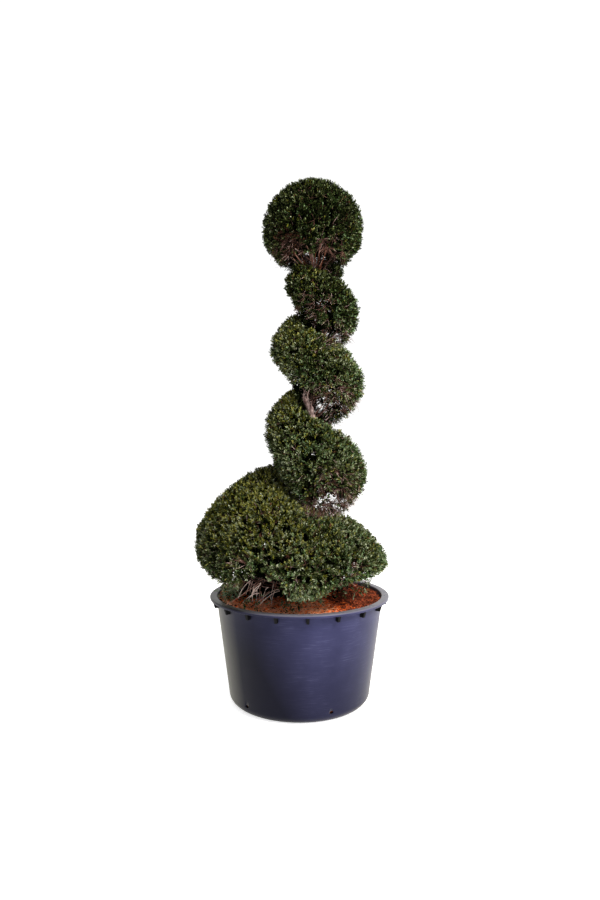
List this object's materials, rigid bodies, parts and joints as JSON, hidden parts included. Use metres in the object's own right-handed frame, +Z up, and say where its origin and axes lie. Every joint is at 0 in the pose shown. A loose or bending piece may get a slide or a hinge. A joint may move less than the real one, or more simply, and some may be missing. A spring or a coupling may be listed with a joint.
{
  "type": "potted spiral topiary",
  "caption": "Clipped evergreen spiral topiary: one climbing ribbon of needles around a winding trunk, with a ball on top, standing in a round nursery pot with mulch",
  "frame": {"origin": "middle of the pot's flat underside", "axes": "+Z up; -Y is the side seen in the picture; +X is the picture's right"},
  "size_m": [1.0361, 1.0171, 2.7616],
  "materials": {
    "pot_plastic": "dark blue-grey moulded plastic, slightly shiny, scuffed",
    "bark_mulch": "loose red-brown shredded bark over the growing medium",
    "bark": "thin scaly bark, red-brown to grey",
    "needles": "dense short needles, dark green with yellow-green tips"
  },
  "bodies": {
    "root": {"pot": "pot_plastic", "mulch": "bark_mulch", "trunk": "bark", "base_start_bough": "bark", "base_right_bough": "bark", "base_front_bough": "bark", "base_left_bough": "bark", "base_back_bough": "bark", "lower_turn_right_bough": "bark", "lower_turn_left_bough": "bark", "lower_turn_back_bough": "bark", "middle_turn_right_bough": "bark", "middle_turn_left_bough": "bark", "middle_turn_back_bough": "bark", "top_turn_right_bough": "bark", "top_turn_left_bough": "bark", "top_turn_back_bough": "bark", "ball_bough_1": "bark", "ball_bough_2": "bark", "ball_bough_3": "bark", "ball_bough_4": "bark", "ball_bough_5": "bark", "ball_bough_6": "bark", "ball_bough_7": "bark", "ball_bough_8": "bark", "ball_bough_9": "bark", "low_bough_1": "bark", "low_bough_2": "bark", "low_bough_3": "bark", "low_bough_4": "bark", "base_start_mass": "needles", "base_right_mass": "needles", "base_front_mass": "needles", "base_left_mass": "needles", "base_back_mass": "needles", "lower_turn_right_mass": "needles", "lower_turn_left_mass": "needles", "lower_turn_back_mass": "needles", "middle_turn_right_mass": "needles", "middle_turn_left_mass": "needles", "middle_turn_back_mass": "needles", "top_turn_right_mass": "needles", "top_turn_left_mass": "needles", "top_turn_back_mass": "needles", "ball_mass": "needles"}
  },
  "joints": []
}
